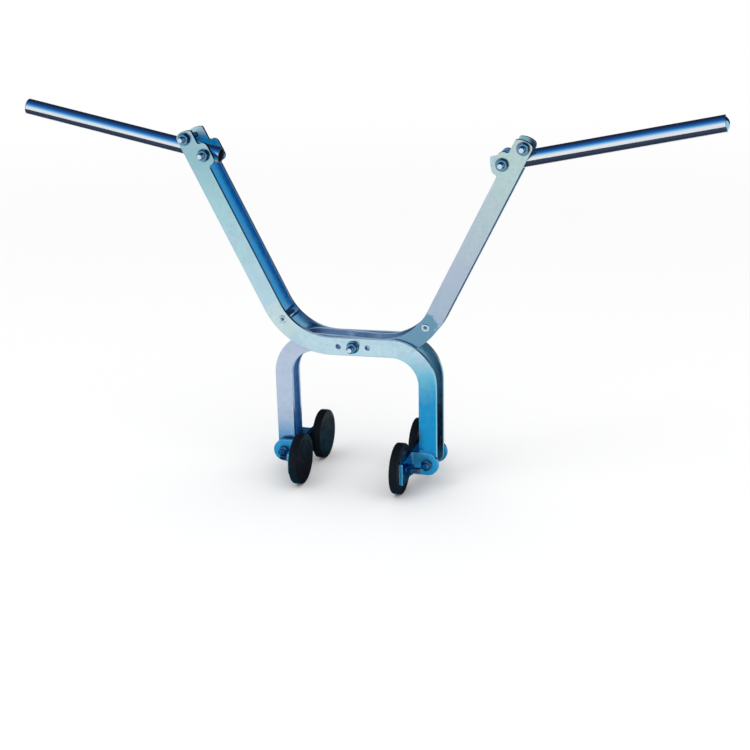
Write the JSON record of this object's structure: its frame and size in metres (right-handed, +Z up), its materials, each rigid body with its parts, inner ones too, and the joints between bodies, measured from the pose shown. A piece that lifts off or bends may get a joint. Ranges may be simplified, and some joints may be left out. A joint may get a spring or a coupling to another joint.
{
  "type": "lifting tongs",
  "caption": "Scissor lifting tongs with crossed steel plate arms, folding tube handles and tilting rubber disc pads that clamp a heavy block when the handles are lifted.",
  "frame": {"origin": "middle of the gap between the gripping discs, level with the pad pivots", "axes": "+X across the load towards the right handle, +Y along the load away from the viewer, +Z up"},
  "size_m": [1.1914, 0.21, 0.6447],
  "materials": {
    "zinc_plate": "bright zinc plated, faint colour sheen",
    "zinc_tube": "bright zinc plated, polished",
    "zinc_fastener": "bright zinc plated",
    "bright_cap": "bright plated, domed",
    "black_rubber": "matt"
  },
  "bodies": {
    "arm_a": {"arm_a_front_plate": "zinc_plate", "arm_a_rear_plate": "zinc_plate", "arm_a_spacer_tube": "zinc_fastener", "left_hinge_bolt": "zinc_fastener", "left_hinge_nut": "zinc_fastener", "left_hinge_spacers": "zinc_fastener", "left_stop_bolt": "zinc_fastener", "left_stop_nut": "zinc_fastener", "main_pivot_bolt": "zinc_fastener", "main_pivot_nut": "zinc_fastener", "main_pivot_shims": "zinc_fastener", "main_pivot_washers": "zinc_fastener"},
    "arm_b": {"arm_b_front_plate": "zinc_plate", "arm_b_rear_plate": "zinc_plate", "arm_b_spacer_tube": "zinc_fastener", "right_hinge_bolt": "zinc_fastener", "right_hinge_nut": "zinc_fastener", "right_stop_bolt": "zinc_fastener", "right_stop_nut": "zinc_fastener", "main_pivot_sleeve": "zinc_fastener", "left_pad_spacers": "zinc_fastener"},
    "left_handle": {"left_handle_bush": "zinc_fastener", "left_handle_cap": "bright_cap", "left_handle_tube": "zinc_tube"},
    "right_handle": {"right_handle_bush": "zinc_fastener", "right_handle_cap": "bright_cap", "right_handle_tube": "zinc_tube"},
    "left_pad": {"left_pad_bracket": "zinc_plate", "left_pad_front_disc": "black_rubber", "left_pad_nuts": "zinc_fastener", "left_pad_pivot_bolt": "zinc_fastener", "left_pad_pivot_nut": "zinc_fastener", "left_pad_rear_disc": "black_rubber", "left_pad_studs": "zinc_fastener", "left_pad_washers": "zinc_fastener"},
    "right_pad": {"right_pad_bracket": "zinc_plate", "right_pad_front_disc": "black_rubber", "right_pad_nuts": "zinc_fastener", "right_pad_pivot_bolt": "zinc_fastener", "right_pad_pivot_nut": "zinc_fastener", "right_pad_rear_disc": "black_rubber", "right_pad_studs": "zinc_fastener", "right_pad_washers": "zinc_fastener"}
  },
  "joints": [
    {"name": "tong_pivot", "type": "hinge", "parent": "arm_a", "child": "arm_b", "pos_m": [0, 0, 0.199], "axis": [0, -1, 0], "range_deg": [-18, 37]},
    {"name": "left_handle_fold", "type": "hinge", "parent": "arm_a", "child": "left_handle", "pos_m": [-0.25321, 0, 0.51738], "axis": [0, -1, 0], "range_deg": [0, 122]},
    {"name": "right_handle_fold", "type": "hinge", "parent": "arm_b", "child": "right_handle", "pos_m": [0.25321, 0, 0.51738], "axis": [0, 1, 0], "range_deg": [0, 122]},
    {"name": "right_pad_tilt", "type": "hinge", "parent": "arm_a", "child": "right_pad", "pos_m": [0.13, 0, 0], "axis": [0, -1, 0], "range_deg": [-22, 202]},
    {"name": "left_pad_tilt", "type": "hinge", "parent": "arm_b", "child": "left_pad", "pos_m": [-0.13, 0, 0], "axis": [0, 1, 0], "range_deg": [-22, 202]}
  ]
}
